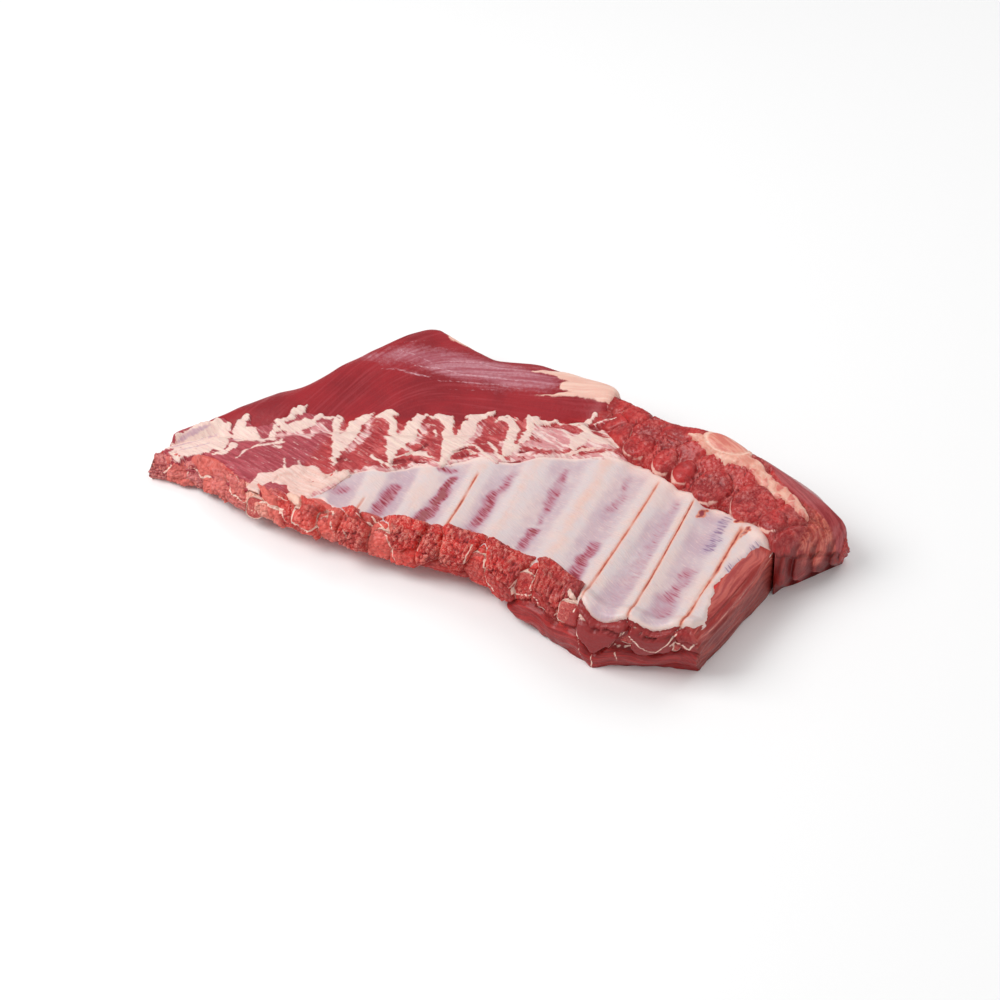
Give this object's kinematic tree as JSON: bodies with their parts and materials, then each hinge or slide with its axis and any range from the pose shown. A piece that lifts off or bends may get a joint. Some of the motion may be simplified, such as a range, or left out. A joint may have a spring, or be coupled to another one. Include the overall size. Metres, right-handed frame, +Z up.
{
  "type": "rack of pork ribs",
  "caption": "Raw rack of pork spare ribs lying bone side up, with silverskin over the ribs, a smooth skirt muscle and a coarse brisket end.",
  "frame": {"origin": "middle of the bounding box's base, on the surface that the rack lies on", "axes": "+X along the rack towards its neck end, -Y towards the sawn rib ends, +Z up out of the bone side"},
  "size_m": [0.4572, 0.2326, 0.0595],
  "materials": {
    "meat": "moist dark pink meat with coarse lumps along the sawn edge",
    "silverskin": "thin white membrane over the ribs, with pale fat strips",
    "skirt": "smooth deep red muscle under a thin silvery veil",
    "brisket": "coarse red muscle in lumps",
    "fat": "pale peach fat with salmon cartilage",
    "bone": "sawn pink rib bone"
  },
  "bodies": {
    "root": {"slab_meat": "meat", "silverskin": "silverskin", "skirt_muscle": "skirt", "brisket": "brisket", "brisket_fat": "fat", "rib_bone_01": "bone", "rib_bone_02": "bone", "rib_bone_03": "bone", "rib_bone_04": "bone", "rib_bone_05": "bone", "rib_bone_06": "bone", "rib_bone_07": "bone", "rib_bone_08": "bone", "rib_bone_09": "bone", "rib_bone_10": "bone"}
  },
  "joints": []
}
